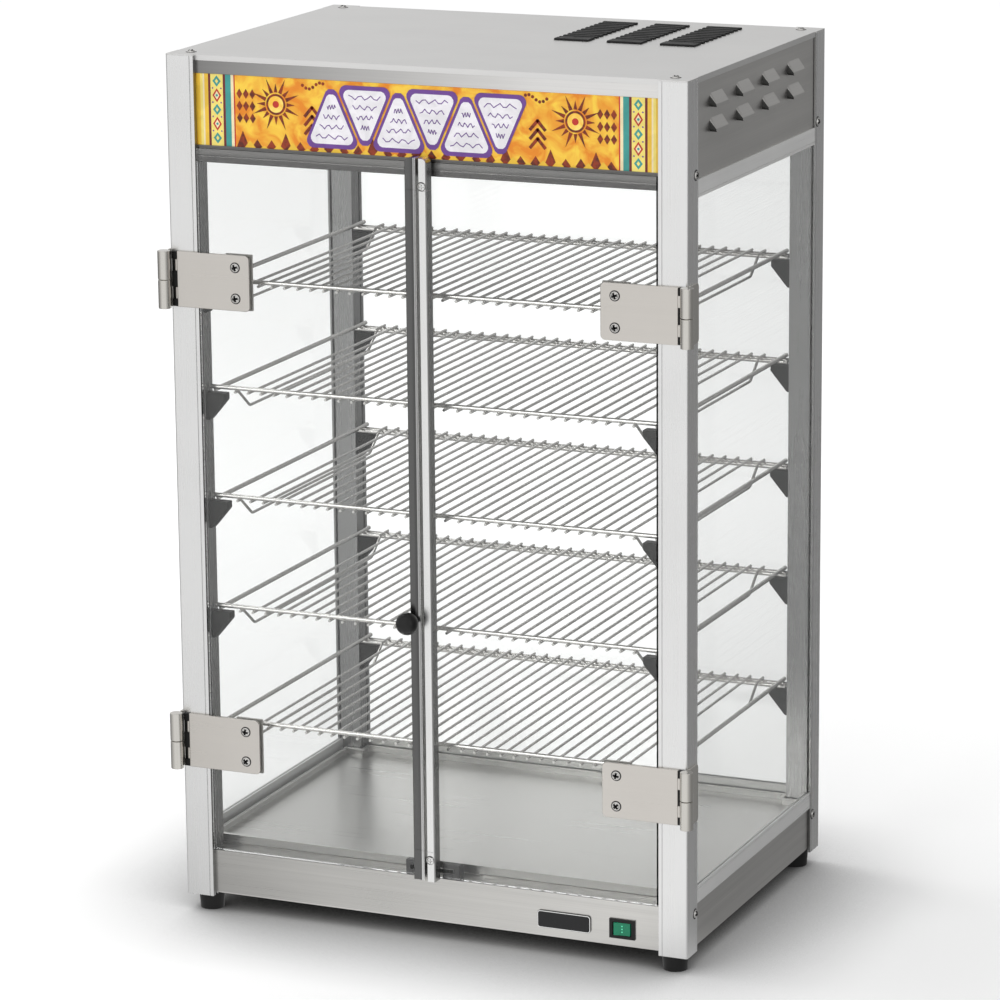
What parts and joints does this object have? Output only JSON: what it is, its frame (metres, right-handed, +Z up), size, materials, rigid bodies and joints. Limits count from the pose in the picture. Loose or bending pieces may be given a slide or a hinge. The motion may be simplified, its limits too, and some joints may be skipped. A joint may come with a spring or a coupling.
{
  "type": "chip warmer",
  "caption": "Tall heated glass display cabinet with wire shelves, swinging glass front doors, a louvred lit header and a shallow base with a power switch.",
  "frame": {"origin": "on the counter under the middle of the whole object, at the bottom of the rubber feet", "axes": "+X to the right seen from the doors, +Y from the doors to the back, +Z up"},
  "size_m": [0.5248, 0.401, 0.822],
  "materials": {
    "post_aluminium": "satin anodised extrusion",
    "light_sheet": "fine satin sheet",
    "brushed_sheet": "brushed along its length",
    "dark_sheet": "brushed, dark satin",
    "sign_film": "printed translucent panel, lit from behind",
    "clear_glass": "clear tempered pane",
    "black_plastic": "moulded",
    "black_rubber": "matt",
    "shelf_wire": "nickel chrome plated wire",
    "screw_steel": "bright plated",
    "hinge_nickel": "brushed nickel",
    "green_rocker": "lit green rocker",
    "heater_steel": "dull sheathed tube",
    "lamp_glass": "frosted tube",
    "white_plastic": "moulded"
  },
  "bodies": {
    "cabinet": {"post_front_left": "post_aluminium", "post_front_right": "post_aluminium", "post_rear_left": "post_aluminium", "post_rear_right": "post_aluminium", "top_cover": "light_sheet", "top_vents": "black_plastic", "header_top_rail": "light_sheet", "header_bottom_rail": "dark_sheet", "sign_panel": "sign_film", "header_side_left": "dark_sheet", "header_side_right": "dark_sheet", "header_rear_panel": "dark_sheet", "ceiling_pan": "light_sheet", "side_rails": "post_aluminium", "rear_rails": "post_aluminium", "side_glass_left": "clear_glass", "side_glass_right": "clear_glass", "rear_glass": "clear_glass", "base_front_panel": "brushed_sheet", "base_side_left": "dark_sheet", "base_side_right": "dark_sheet", "base_rear_panel": "dark_sheet", "base_bottom_pan": "dark_sheet", "base_deck": "brushed_sheet", "feet": "black_rubber", "foot_screws": "screw_steel", "shelf_brackets": "black_plastic", "frame_screws": "screw_steel", "hinge_fixed_leaves": "hinge_nickel", "hinge_pins": "screw_steel", "catch_magnets": "black_plastic", "badge_plate": "black_plastic", "switch_housing": "black_plastic", "cord_gland": "black_plastic", "fan_housing": "black_plastic", "heater_element": "heater_steel", "heater_plates": "light_sheet", "sign_lamp": "lamp_glass", "lamp_holders": "white_plastic"},
    "left_door": {"door_glass_left": "clear_glass", "door_stile_left": "post_aluminium", "door_stile_ends_left": "post_aluminium", "door_hinge_leaves_left": "hinge_nickel", "door_screws_left": "screw_steel", "door_clamp_plates_left": "hinge_nickel", "door_knob": "black_plastic"},
    "right_door": {"door_glass_right": "clear_glass", "door_stile_right": "post_aluminium", "door_stile_ends_right": "post_aluminium", "door_hinge_leaves_right": "hinge_nickel", "door_screws_right": "screw_steel", "door_clamp_plates_right": "hinge_nickel"},
    "shelf_1": {"shelf_1": "shelf_wire"},
    "shelf_2": {"shelf_2": "shelf_wire"},
    "shelf_3": {"shelf_3": "shelf_wire"},
    "shelf_4": {"shelf_4": "shelf_wire"},
    "shelf_5": {"shelf_5": "shelf_wire"},
    "crumb_tray": {"crumb_tray": "brushed_sheet"},
    "switch_rocker": {"switch_rocker": "green_rocker"},
    "fan_rotor": {"fan_rotor": "black_plastic"}
  },
  "joints": [
    {"name": "left_door_hinge", "type": "hinge", "parent": "cabinet", "child": "left_door", "pos_m": [-0.2564, -0.1748, 0.4], "axis": [0, 0, 1], "range_deg": [-170, 0]},
    {"name": "right_door_hinge", "type": "hinge", "parent": "cabinet", "child": "right_door", "pos_m": [0.2564, -0.1748, 0.4], "axis": [0, 0, 1], "range_deg": [0, 170]},
    {"name": "shelf_1_lift", "type": "slide", "parent": "cabinet", "child": "shelf_1", "axis": [0, 0, 1], "range_m": [0, 0.025]},
    {"name": "shelf_2_lift", "type": "slide", "parent": "cabinet", "child": "shelf_2", "axis": [0, 0, 1], "range_m": [0, 0.025]},
    {"name": "shelf_3_lift", "type": "slide", "parent": "cabinet", "child": "shelf_3", "axis": [0, 0, 1], "range_m": [0, 0.025]},
    {"name": "shelf_4_lift", "type": "slide", "parent": "cabinet", "child": "shelf_4", "axis": [0, 0, 1], "range_m": [0, 0.025]},
    {"name": "shelf_5_lift", "type": "slide", "parent": "cabinet", "child": "shelf_5", "axis": [0, 0, 1], "range_m": [0, 0.025]},
    {"name": "crumb_tray_lift", "type": "slide", "parent": "cabinet", "child": "crumb_tray", "axis": [0, 0, 1], "range_m": [0, 0.03]},
    {"name": "switch_rocker_hinge", "type": "hinge", "parent": "cabinet", "child": "switch_rocker", "pos_m": [0.189, -0.1602, 0.03535], "axis": [0, 0, 1], "range_deg": [-14, 0]},
    {"name": "fan_spin", "type": "hinge", "parent": "cabinet", "child": "fan_rotor", "pos_m": [-0.07, 0.0425, 0.73], "axis": [0, 0, 1], "continuous": true}
  ]
}
